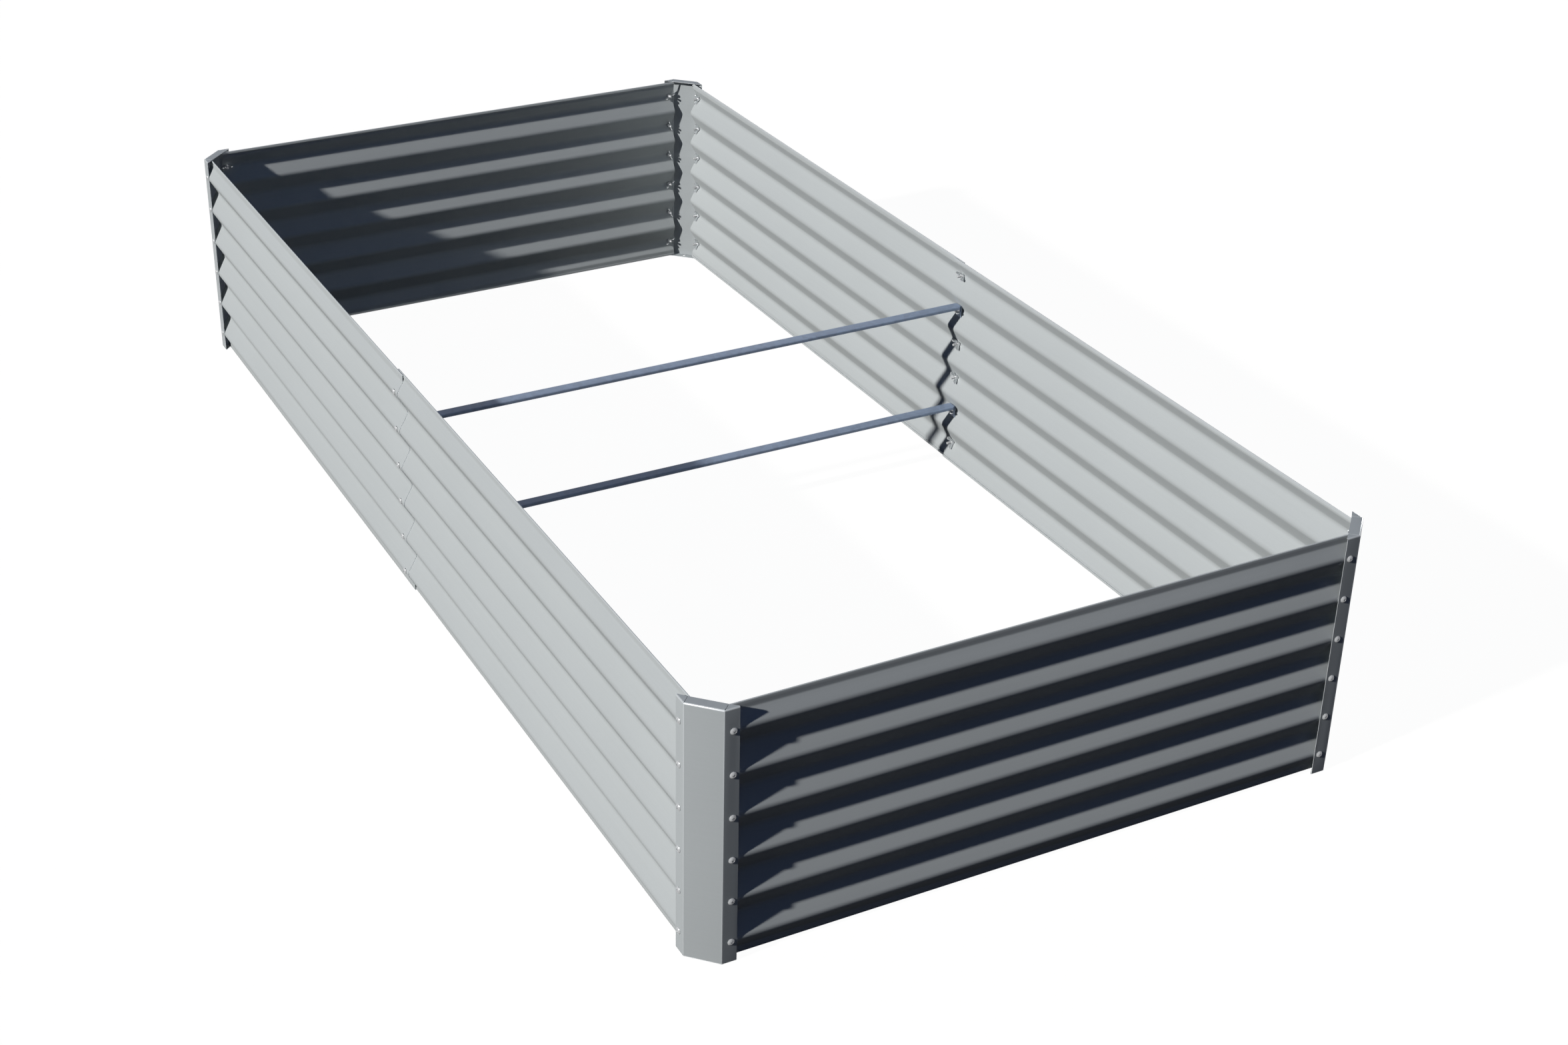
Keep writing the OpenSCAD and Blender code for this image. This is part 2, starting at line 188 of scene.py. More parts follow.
class Shape(Graph):
    """A geometry tree with named inputs, which makes plain meshes."""

    def __init__(self, name: str, inputs: dict[str, Any]) -> None:
        """Makes the tree.

        Args:
            name: The tree's name.
            inputs: Default values of its inputs, by name.
        """
        tree = bpy.data.node_groups.new(name, "GeometryNodeTree")
        tree.is_modifier = True
        new = tree.interface.new_socket
        new("Geometry", in_out="OUTPUT", socket_type="NodeSocketGeometry")
        new("Geometry", in_out="INPUT", socket_type="NodeSocketGeometry")
        for label, value in inputs.items():
            new(label, in_out="INPUT", socket_type=SOCKETS[type(value)])
        super().__init__(tree)
        self.inputs = inputs
        self.inlet = self.add("NodeGroupInput")

    def given(self, name: str) -> Value:
        """An input of the tree, as a number."""
        return self.value(self.inlet, name)

    def mark(self, name: str, sockets: Sockets, **settings: Any) -> Node:
        """Stores a named attribute, if not set otherwise a float on the points."""
        sockets = {"Name": name, **sockets}
        return self.add("GeometryNodeStoreNamedAttribute", sockets, **settings)

    def end(self, geometry: Node) -> None:
        """Ends the tree: instances become real, and the piece takes its material.

        Args:
            geometry: The node with the tree's result.
        """
        real = self.add("GeometryNodeRealizeInstances", {0: geometry})
        dressed = self.add("GeometryNodeSetMaterial", {
            "Geometry": real, "Material": self.inlet.outputs["Material"]})
        self.add("NodeGroupOutput", {0: dressed})

    def grow(self, name: str, base: Mesh, changes: dict[str, Any]) -> Mesh:
        """Runs the tree on a mesh.

        Args:
            name: Name of the resulting mesh.
            base: The mesh that the tree starts from.
            changes: Other values of some inputs, by name.

        Returns:
            A plain mesh.
        """
        values = self.inputs | changes
        maker = linked(name + "_maker", base)
        modifier = maker.modifiers.new("shape", "NODES")
        modifier.node_group = self.tree
        for item in self.tree.interface.items_tree:
            if item.name in values:
                modifier[item.identifier] = values[item.name]
        return baked(name, maker)


def linked(name: str, data: ID) -> Object:
    """Puts a new object in the scene."""
    bpy.context.scene.collection.objects.link(thing := bpy.data.objects.new(name, data))
    return thing


def baked(name: str, maker: Object, *tools: Object) -> Mesh:
    """Applies an object's modifiers, and removes it from the scene.

    Args:
        name: Name of the resulting mesh.
        maker: The object.
        *tools: Objects that its modifiers use, which go with it.

    Returns:
        A plain mesh.
    """
    bpy.context.view_layer.update()
    depsgraph = bpy.context.evaluated_depsgraph_get()
    shown = maker.evaluated_get(depsgraph)
    mesh = bpy.data.meshes.new_from_object(
        shown, preserve_all_data_layers=True, depsgraph=depsgraph)
    maker.modifiers.clear()
    for thing in (maker, *tools):
        bpy.data.objects.remove(thing)
    mesh.name = name
    return mesh


def place(name: str, mesh: Mesh, slot: str, *nodes: str) -> None:
    """Puts a finished mesh in the scene in place of its CAD nodes.

    Args:
        name: The piece's name.
        mesh: Its mesh, in the model's frame.
        slot: Not used.
        *nodes: The CAD nodes that it stands for.
    """
    piece = linked(name, mesh)
    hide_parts(*nodes)
    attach(piece, BODY)
    LOG.info("%s: %d faces, for %s", name, len(mesh.polygons), ", ".join(nodes))


@dataclass(frozen=True)
class Bed:
    """Sizes that the pieces of the bed share."""

    length: float = 2250 * MM
    width: float = 1100 * MM
    height: float = 410 * MM
    lap_x: float = 8 * MM
    rows: int = 6
    brace_row: int = 1  # counted from 0, from the top and from the foot
    edge_rise: float = 35 * MM
    panel_t: float = 0.8 * MM
    post_t: float = 1 * MM
    brace_t: float = 1.2 * MM
    facet_w: float = 55 * MM
    flange_hole: float = 13.5 * MM
    seat_gap: float = 0.1 * MM
    lap_gap: float = 0.1 * MM
    crest_gap: float = 0.05 * MM

    @property
    def pitch(self) -> float:
        """Distance of one screw row from the next."""
        return (self.height - 2 * self.edge_rise) / (self.rows - 1)

    @property
    def fold(self) -> float:
        """Distance of a post's folds from the bed's corner point."""
        return self.facet_w / math.sqrt(2)

    def screw_x(self, span: float) -> float:
        """Place of the corner screws along a wall of a certain length."""
        return span / 2 - self.fold - self.flange_hole

    @property
    def panel_y(self) -> float:
        """Depth of a panel's crests."""
        return self.post_t + self.seat_gap


class Wall(Enum):
    """The four walls, by the side of the bed that they close."""

    LEFT = "left"
    RIGHT = "right"
    FRONT = "front"
    REAR = "rear"

    def settle(self, mesh: Mesh, bed: Bed) -> Mesh:
        """Moves a mesh from this wall's coordinates to the model's frame.

        Args:
            mesh: The mesh.
            bed: The bed's sizes.

        Returns:
            The same mesh, its faces still outwards.
        """
        side, end = (Matrix.Translation((0, -span / 2, 0))
                     for span in (bed.width, bed.length))
        matrix = {
            Wall.LEFT: side,
            Wall.RIGHT: Matrix.Diagonal((1, -1, 1, 1)) @ side,
            Wall.FRONT: Matrix.Rotation(math.pi / 2, 4, "Z") @ end,
            Wall.REAR: Matrix.Rotation(-math.pi / 2, 4, "Z") @ end,
        }[self]
        mesh.transform(matrix)
        if matrix.determinant() < 0:
            mesh.flip_normals()
        return mesh


@dataclass(frozen=True)
class Grain:
    """Noise on a piece's own coordinates: lumps for each metre, octaves, stretch."""

    scale: float
    detail: float = 3.0
    stretch: Triple = (1.0, 1.0, 1.0)

    def on(self, graph: Graph) -> Value:
        """Adds the noise to a material.

        Args:
            graph: The material's graph.

        Returns:
            The noise, between 0 and 1.
        """
        where = graph.add("ShaderNodeTexCoord").outputs["Object"]
        moved = graph.add("ShaderNodeMapping", {"Vector": where, "Scale": self.stretch})
        noise = graph.add("ShaderNodeTexNoise", {
            "Vector": moved, "Scale": self.scale, "Detail": self.detail})
        return graph.value(noise, "Fac")


@dataclass(frozen=True)
class Finish:
    """What every finish shares: a material of one Principled shader.

    The colour varies between its two tones, which are shares of it. The roughness
    starts from the gloss, and the relief is the depth of the bumps.
    """

    name: str
    slot: str
    colour: Triple
    tones: tuple[float, float] = (0.93, 1.07)
    gloss: float = 0.31
    relief: float = 0.03 * MM

    def material(self) -> Material:
        """Makes the material, or finds the one made before.

        Returns:
            The material.
        """
        made = bpy.data.materials.get(self.name)
        if made is None:
            made = bpy.data.materials.new(self.name)
            made.use_nodes = True
            graph = Graph(made.node_tree)
            shader = graph.add("ShaderNodeBsdfPrincipled")
            graph.add("ShaderNodeOutputMaterial", {"Surface": shader})
            self.paint(graph, shader)
        return made

    def paint(self, graph: Graph, shader: Node) -> None:
        """Fills in the shader."""
        raise NotImplementedError

    def toned(self, graph: Graph, tone: Value) -> NodeSocket:
        """The colour, from its dark tone at 0 to its light one at 1."""
        shades = ((*(share * channel for channel in self.colour), 1.0)
                  for share in self.tones)
        return graph.mix(tone, *shades)

    def bump(self, graph: Graph, height: Value) -> Node:
        """Bumps from a height between 0 and 1."""
        return graph.add("ShaderNodeBump", {
            "Height": height, "Strength": 1.0, "Distance": self.relief})


@dataclass(frozen=True)
class SheetPaint(Finish):
    """Satin paint on rolled steel sheet, thinned by wear on cut edges and bends, the
    bends also lightened as a painted highlight.

    Fields named for what they change hold the shares of the patterns in it.
    """

    edge: Triple = (0.72, 0.75, 0.77)
    cloud: Grain = Grain(4.0)
    speck: Grain = Grain(260.0, 2.0)
    line: Grain = Grain(6.0, 2.0, (0.5, 0.5, 90.0))
    skin: Grain = Grain(900.0, 1.0)
    tone: Triple = (0.5, 0.2, 0.3)
    rough: Triple = (0.08, 0.05, -0.08)
    height: tuple[float, float] = (0.6, 0.4)
    least_wear: float = 0.55
    patchiness: float = 0.6
    bend_wear_and_highlight: float = 0.95
    flake: float = 0.005
    bare_metal: float = 0.6

    def paint(self, graph: Graph, shader: Node) -> None:
        """Clouds, roll lines along the sheet, fine skin, wear on cut edges, and bends
        thinned by wear and lightened as a painted highlight.

        Args:
            graph: The material's graph.
            shader: Its Principled shader.
        """
        cloud, speck, line, skin = (
            grain.on(graph) for grain in (self.cloud, self.speck, self.line, self.skin))
        rim, bend = (
            graph.value(graph.add("ShaderNodeAttribute", attribute_name=name), "Fac")
            for name in ("rim", "bend"))
        body = self.toned(graph, blend((cloud, speck, line), self.tone))
        patchy = (self.least_wear + speck * self.patchiness).between()
        # Cut edges are bared by wear; bends are lightened as wear plus a painted
        # highlight.
        wear_and_highlight = (rim * patchy + bend * self.bend_wear_and_highlight).between()
        graph.feed(shader, {
            "Base Color": graph.mix(wear_and_highlight, body, (*self.edge, 1.0)),
            "Roughness": self.gloss + blend((cloud, line, bend), self.rough),
            "Metallic": self.flake + wear_and_highlight * self.bare_metal,
            "Specular IOR Level": 0.0,
            "Normal": self.bump(graph, blend((skin, line), self.height)),
        })


@dataclass(frozen=True)
class Galvanised(Finish):
    """Bare galvanised strip, with faint zinc crystals."""

    tones: tuple[float, float] = (0.84, 1.14)
    gloss: float = 0.34
    crystal_scale: float = 110.0
    line: Grain = Grain(5.0, 2.0, (160.0, 1.0, 160.0))
    tone: tuple[float, float] = (0.6, 0.4)
    crystal_rough: float = 0.12
    metal: float = 0.10
    specular: float = 0.15

    def paint(self, graph: Graph, shader: Node) -> None:
        """Crystals of slightly different greys, and rolling lines along the strip.

        Args:
            graph: The material's graph.
            shader: Its Principled shader.
        """
        where = graph.add("ShaderNodeTexCoord").outputs["Object"]
        cells = graph.add("ShaderNodeTexVoronoi", {
            "Vector": where, "Scale": self.crystal_scale}).outputs["Color"]
        crystal = graph.value(graph.add("ShaderNodeSeparateColor", {0: cells}))
        line = self.line.on(graph)
        graph.feed(shader, {
            "Base Color": self.toned(graph, blend((crystal, line), self.tone)),
            "Roughness": self.gloss + crystal * self.crystal_rough,
            "Metallic": self.metal,
            "Specular IOR Level": self.specular,
            "Normal": self.bump(graph, line),
        })


@dataclass(frozen=True)
class ZincPlate(Finish):
    """Bright zinc plate on screws and nuts."""

    tones: tuple[float, float] = (0.80, 1.12)
    gloss: float = 0.22
    metal: float = 0.95
    stain: Grain = Grain(140.0)
    grain: Grain = Grain(1500.0, 1.0)
    stain_rough: float = 0.16

    def paint(self, graph: Graph, shader: Node) -> None:
        """Small stains and an uneven shine.

        Args:
            graph: The material's graph.
            shader: Its Principled shader.
        """
        stain = self.stain.on(graph)
        graph.feed(shader, {
            "Base Color": self.toned(graph, stain),
            "Roughness": self.gloss + stain * self.stain_rough,
            "Metallic": self.metal,
            "Normal": self.bump(graph, self.grain.on(graph)),
        })


@dataclass(frozen=True)
class Panels:
    """The six corrugated panels, each swept from one rule."""

    bed: Bed
    finish: Finish
    depth: float = 16 * MM
    bend: float = 11 * MM
    strip: float = 10.6 * MM
    strip_bend: float = 6 * MM
    hem_gap: float = 1 * MM
    flap: float = 3.5 * MM
    lip_gap: float = 0.5 * MM
    side_end_gap: float = 3 * MM
    end_end_gap: float = 6 * MM
    lap_outer: float = 15 * MM
    lap_inner: float = 12 * MM
    wave: float = 0.3 * MM
    wave_scale: float = 7.0
    seed: float = 3.0
    hem_wear_and_highlight: float = 0.25
    crisp: float = math.radians(40)
    columns: int = 41
    arc_steps: int = 4
    flank_steps: int = 2
    edge_steps: tuple[int, int, int, int] = (3, 2, 6, 1)  # bend, strip, hem and flap

    @property
    def flank_angle(self) -> float:
        """Slope of the flanks from upright."""
        half = self.bed.pitch / 2
        inward = 2 * self.bend - self.depth
        straight = math.sqrt(half**2 + inward**2 - (2 * self.bend) ** 2)
        return math.atan(2 * self.bend / straight) - math.atan(inward / half)

    @property
    def lap_shift(self) -> float:
        """Depth by which an inner panel lies behind an outer one."""
        return self.bed.panel_t / math.cos(self.flank_angle) + self.bed.lap_gap

    @property
    def inner_strip(self) -> float:
        """Strip depth of a panel that tucks inside another."""
        hem = self.hem_gap + 2 * self.bed.panel_t
        return self.strip + hem + self.bed.lap_gap - self.lap_shift

    @property
    def toe_in(self) -> float:
        """Turn of a front half, outermost at its post and innermost at its lap."""
        reach = self.bed.screw_x(self.bed.length) - self.bed.lap_x
        return math.atan(self.lap_shift / reach)

    def sizes(self, start: float, end: float, strip: float) -> dict[str, Any]:
        """What the tree is given for one panel.

        Args:
            start: Where the panel starts along the wall.
            end: Where it ends.
            strip: Depth of its edge strips.

        Returns:
            The tree's inputs, by name.
        """
        bed = self.bed
        hem = (self.hem_gap + bed.panel_t) / 2
        slope = self.flank_angle
        bends = self.bend + self.strip_bend
        rise = bends * math.sin(slope) + (
            strip - bends * (1 - math.cos(slope))) / math.tan(slope)
        edge = bed.edge_rise - bed.post_t - self.lip_gap - bed.panel_t / 2 - hem
        cycle = 2 * self.arc_steps + self.flank_steps
        beyond = self.arc_steps + self.flank_steps + sum(self.edge_steps)
        return {
            "Start": start, "End": end, "Middle": bed.height / 2,
            "Half spacing": bed.pitch / 2, "Half spacings": float(bed.rows - 1),
            "Bend radius": self.bend, "Flank angle": slope,
            "Strip depth": strip, "Strip radius": self.strip_bend,
            "Strip height": edge - rise, "Hem radius": hem, "Flap": self.flap,
            "Thickness": bed.panel_t, "Wave": self.wave, "Wave scale": self.wave_scale,
            "Seed": self.seed, "Arc steps": float(self.arc_steps),
            "Flank steps": float(self.flank_steps), "Columns": self.columns,
            "Line points": 2 * ((bed.rows - 1) * cycle + beyond) + 1,
            "Material": self.finish.material(),
        }

    def rule(self) -> Shape:
        """The tree that sweeps a panel: crests, flanks, edge strips and hems.

        Returns:
            The tree, with named inputs for every size.
        """
        shape = Shape("corrugated_sheet", self.sizes(0.0, 1.0, self.strip))
        given = shape.given
        half, bend, strip_bend, slope, hem, arc, flat = map(given, (
            "Half spacing", "Bend radius", "Strip radius", "Flank angle", "Hem radius",
            "Arc steps", "Flank steps"))
        sine, cosine = slope.apply("SINE"), slope.apply("COSINE")

        grid = shape.add("GeometryNodeMeshGrid", {
            "Size X": 1.0, "Size Y": 1.0,
            "Vertices X": given("Columns"), "Vertices Y": given("Line points")})
        spot = shape.add("ShaderNodeSeparateXYZ",
                         {0: shape.add("GeometryNodeInputPosition")})
        across, along = shape.value(spot, "Y"), shape.value(spot, "X")
        count = across * (given("Line points") - 1.0)
        step, side = count.apply("ABSOLUTE"), count.apply("SIGN")

        cycle = arc * 2.0 + flat
        zone = given("Half spacings") * cycle
        inner = step.apply("MINIMUM", zone) / cycle
        whole = inner.apply("FLOOR")
        part = (inner - whole) * cycle
        rise = bend * sine
        height = half * whole + (
            rise * (part / arc).between()
            + (half - rise * 2.0) * ((part - arc) / flat).between()
            + rise * ((part - arc - flat) / arc).between())
        from_valley = height.apply("PINGPONG", half)
        from_crest = half - from_valley

        def sag(distance: Value) -> Value:
            """Depth of a bend at a distance from its top."""
            square = bend * bend - distance * distance
            return bend - square.apply("MAXIMUM", 0.0).apply("SQRT")

        depth = (
            sag(from_crest.apply("MINIMUM", rise))
            + (from_crest.between(rise, half - rise) - rise) * slope.apply("TANGENT")
            + sag(rise) - sag(from_valley.apply("MINIMUM", rise)))

        past = (step - zone).apply("MAXIMUM", 0.0)
        stretches = (arc, flat, *self.edge_steps)
        leaving, sloping, easing, rising, hemming, closing = (
            ((past - start) / steps).between()
            for start, steps in zip(accumulate(stretches, initial=0.0), stretches))
        turn = slope * leaving
        depth += bend * (1.0 - turn.apply("COSINE"))
        height += bend * turn.apply("SINE")
        run = (given("Strip depth") - (bend + strip_bend) * (1.0 - cosine)) / sine
        sloped = run * sloping
        depth += sloped * sine
        height += sloped * cosine
        turn = slope * (1.0 - easing)
        depth += strip_bend * (turn.apply("COSINE") - cosine)
        height += strip_bend * (sine - turn.apply("SINE"))
        height += given("Strip height") * rising
        turn = hemming * math.pi
        depth += hem * (1.0 - turn.apply("COSINE"))
        height += hem * turn.apply("SINE")
        height -= given("Flap") * closing

        x = given("Start") + (along + 0.5) * (given("End") - given("Start"))
        z = given("Middle") + side * height
        wave = shape.value(shape.add("ShaderNodeTexNoise", {
            "Vector": shape.vector(x, given("Seed"), z),
            "Scale": given("Wave scale"), "Detail": 1.0}))
        y = given("Thickness") * 0.5 + depth + (wave - 0.5) * given("Wave")
        # Hems are marked as bends, which the paint lightens: wear plus a painted
        # highlight.
        wear_and_highlight = hemming.apply("GREATER_THAN", 0.0) * self.hem_wear_and_highlight
        line = shape.add("GeometryNodeSetPosition", {
            "Geometry": shape.mark("bend", {"Geometry": grid, "Value": wear_and_highlight}),
            "Position": shape.vector(x, y, z)})
        self._thicken(shape, line)
        return shape

    def _thicken(self, shape: Shape, line: Node) -> None:
        """Turns the swept middle surface into a sheet with closed, marked rims.

        Args:
            shape: The tree, which this ends.
            line: The node that gives the middle surface.
        """
        thickness = shape.given("Thickness")
        kept = shape.mark("facing", {
            "Geometry": line, "Value": shape.add("GeometryNodeInputNormal")},
            data_type="FLOAT_VECTOR")
        facing = shape.add("GeometryNodeInputNamedAttribute", {"Name": "facing"},
                           data_type="FLOAT_VECTOR")
        step = shape.add("ShaderNodeVectorMath", {
            0: facing, "Scale": thickness * -0.5}, operation="SCALE")
        back = shape.add("GeometryNodeSetPosition", {"Geometry": kept, "Offset": step})
        raised = shape.add("GeometryNodeExtrudeMesh", {
            "Mesh": back, "Offset": facing, "Offset Scale": thickness,
            "Individual": False}, mode="FACES")
        marked = shape.mark("rim", {
            "Geometry": raised.outputs["Mesh"], "Selection": raised.outputs["Side"],
            "Value": 1.0}, domain="FACE")
        both = shape.add("GeometryNodeJoinGeometry")
        for half in (marked, shape.add("GeometryNodeFlipFaces", {0: back})):
            shape.feed(both, {0: half})
        welded = shape.add("GeometryNodeMergeByDistance", {
            "Geometry": both, "Distance": WELD})
        smooth = shape.add("GeometryNodeSetShadeSmooth", {
            "Geometry": welded, "Shade Smooth": True}, domain="FACE")
        angle = shape.value(shape.add("GeometryNodeInputMeshEdgeAngle"))
        crisp = shape.add("GeometryNodeSetShadeSmooth", {
            "Geometry": smooth, "Selection": angle.apply("GREATER_THAN", self.crisp),
            "Shade Smooth": False}, domain="EDGE")
        shape.end(shape.add("GeometryNodeRemoveAttribute", {
            "Geometry": crisp, "Name": "facing"}))

    def build(self) -> None:
        """Makes all six panels."""
        bed = self.bed
        shape = self.rule()
        side_x = bed.length / 2 - bed.fold - self.side_end_gap
        end_x = bed.width / 2 - bed.fold - self.end_end_gap
        pivot = Vector((bed.screw_x(bed.length), 0, 0))
        seat = Matrix.Translation((0, bed.panel_y, 0))
        toed = (seat @ Matrix.Translation(pivot)
                @ Matrix.Rotation(-self.toe_in, 4, "Z") @ Matrix.Translation(-pivot))
        rear = (seat, -side_x, bed.lap_x + self.lap_outer, self.strip)
        front = (toed, bed.lap_x - self.lap_inner, side_x, self.inner_strip)
        end = (seat, -end_x, end_x, self.strip)
        panels = {"left_rear": rear, "left_front": front, "right_rear": rear,
                  "right_front": front, "front": end, "rear": end}
        for spot, (matrix, *sizes) in panels.items():
            wall, _, half = spot.partition("_")
            name = f"corrugated_{spot}"
            seed = bpy.data.meshes.new(name + "_seed")
            mesh = shape.grow(name, seed, self.sizes(*sizes))
            mesh.transform(matrix)
            node = f"{'side' if half else 'end'}_panel_{spot}"
            place(name, Wall(wall).settle(mesh, bed), self.finish.slot, node)


@dataclass(frozen=True)
class FoldedSheet:
    """Posts and braces: the model's own folded sheet, with softened edges, wear on its
    cut edges, and bends marked for wear and a painted highlight.
    """

    finish: Finish
    thickness: float
    slight_wear_and_highlight: float = 0.3
    slack: float = 1.2
    soft: float = 0.22 * MM
    melt: float = math.radians(0.5)
    crisp: float = math.radians(50)
    fold: float = math.radians(30)

    def build(self, name: str, node: str) -> None:
        """Dresses one CAD node.

        Args:
            name: The piece's name.
            node: The CAD node that it stands for.
        """
        maker = linked(name + "_maker", self._melted(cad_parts[node].data, name))
        bevel = maker.modifiers.new("soft_edges", "BEVEL")
        bevel.width = self.soft
        bevel.segments = SOFT_STEPS
        bevel.limit_method = "ANGLE"
        bevel.angle_limit = self.crisp
        bevel.harden_normals = True
        done = baked(name, maker)
        done.materials.clear()
        done.materials.append(self.finish.material())
        place(name, done, self.finish.slot, node)

    def _melted(self, source: Mesh, name: str) -> Mesh:
        """Copies a node's mesh, welded, its flat faces whole, its wear and painted
        highlights marked.

        Args:
            source: The node's mesh.
            name: Name of the copy.

        Returns:
            The copy.
        """
        mesh = bpy.data.meshes.new(name)
        work = bmesh.new()
        work.from_mesh(source)
        bmesh.ops.remove_doubles(work, verts=work.verts, dist=WELD)
        bmesh.ops.dissolve_limit(
            work, angle_limit=self.melt, verts=work.verts, edges=work.edges)
        rim, bend = (work.faces.layers.float.new(name) for name in ("rim", "bend"))
        for face in work.faces:
            face.smooth = True
            face[rim] = float(self._is_strip(face, self.crisp, math.pi))
            east, north, up = map(abs, face.normal)
            # The bend mark is wear plus a painted highlight: full on the top bends of
            # the slanted facets, slight on the other bends.
            highlight_brow = up > self.melt and abs(east - north) < self.melt
            face[bend] = ((1.0 if highlight_brow else self.slight_wear_and_highlight)
                          * self._is_strip(face, 2 * self.melt, self.fold))
        for edge in work.edges:
            edge.smooth = edge.calc_face_angle(0.0) < self.fold
        work.to_mesh(mesh)
        work.free()
        return mesh

    def _is_strip(self, face: BMFace, least: float, most: float) -> bool:
        """Whether a face is a narrow strip with both long edges in a range of angles.

        Args:
            face: The face.
            least: Smallest angle at its long edges.
            most: Largest angle there.

        Returns:
            True for a cut edge (large angles) or a part of a bend (small ones).
        """
        around = sum(edge.calc_length() for edge in face.edges)
        longest = sorted(face.edges, key=lambda edge: edge.calc_length())[-2:]
        narrow = face.calc_area() < 0.5 * around * self.thickness * self.slack
        return narrow and all(
            least < edge.calc_face_angle(0.0) <= most for edge in longest)


def finished(work: BMesh, name: str) -> Mesh:
    """Turns working geometry into a mesh with smooth bends and crisp corners.

    Args:
        work: The geometry, which is freed.
        name: The mesh's name.

    Returns:
        The mesh.
    """
    for face in work.faces:
        face.smooth = True
    for edge in work.edges:
        edge.smooth = edge.calc_face_angle(0.0) < SMOOTH_BELOW
    mesh = bpy.data.meshes.new(name)
    work.to_mesh(mesh)
    work.free()
    return mesh


def add_tube(work: BMesh, rings: Sequence[tuple[float, Sequence[float]]]) -> None:
    """Adds a closed tube about the Y axis to working geometry.

    Args:
        work: The geometry.
        rings: Height and radii of each ring, a radius for each of its points.
    """
    loops = [[work.verts.new((radius * math.cos(2 * math.pi * k / len(radii)), y,
                              radius * math.sin(2 * math.pi * k / len(radii))))
              for k, radius in enumerate(radii)] for y, radii in rings]
    faces = []
    for low, high in zip(loops, loops[1:]):
        for k in range(len(low)):
            after = (k + 1) % len(low)
            faces.append(work.faces.new((low[k], high[k], high[after], low[after])))
    faces += [work.faces.new(loops[0]), work.faces.new(loops[-1])]
    bmesh.ops.recalc_face_normals(work, faces=faces)


def spun(name: str, *profile: tuple[float, float]) -> Mesh:
    """Makes a closed round solid about the Y axis.

    Args:
        name: The mesh's name.
        *profile: Radius and height of each ring.

    Returns:
        The mesh.
    """
    work = bmesh.new()
    add_tube(work, [(y, [radius] * ROUND_SIDES) for radius, y in profile])
    return finished(work, name)


def bar(name: str, outline: Sequence[tuple[float, float]], width: float) -> Mesh:
    """Makes a flat outline in x and y solid, half its width to each side of z 0.

    Args:
        name: The mesh's name.
        outline: The outline's points.
        width: The solid's whole width.

    Returns:
        The mesh.
    """
    work = bmesh.new()
    bottom = work.faces.new([work.verts.new((x, y, -width / 2)) for x, y in outline])
    grown = bmesh.ops.extrude_face_region(work, geom=[bottom])
    moved = [item for item in grown["geom"] if isinstance(item, BMVert)]
    bmesh.ops.translate(work, verts=moved, vec=(0, 0, width))
    bmesh.ops.recalc_face_normals(work, faces=work.faces)
    return finished(work, name)


class Cut(Enum):
    """How one solid changes another."""

    JOIN = "UNION"
    REMOVE = "DIFFERENCE"


def carved(mesh: Mesh, *steps: tuple[Cut, Mesh]) -> Mesh:
    """Joins solids to a solid, or cuts them from it, in order.

    Args:
        mesh: The first solid.
        *steps: What to do with each further solid.

    Returns:
        The plain result.
    """
    tools = []
    maker = linked(mesh.name + "_maker", mesh)
    for cut, shape in steps:
        tools.append(linked(shape.name + "_tool", shape))
        change = maker.modifiers.new(shape.name, "BOOLEAN")
        change.operation = cut.value
        change.object = tools[-1]
        change.solver = "EXACT"
    work = bmesh.new()
    work.from_mesh(baked(mesh.name + "_carved", maker, *tools))
    bmesh.ops.remove_doubles(work, verts=work.verts, dist=WELD)
    return finished(work, mesh.name)


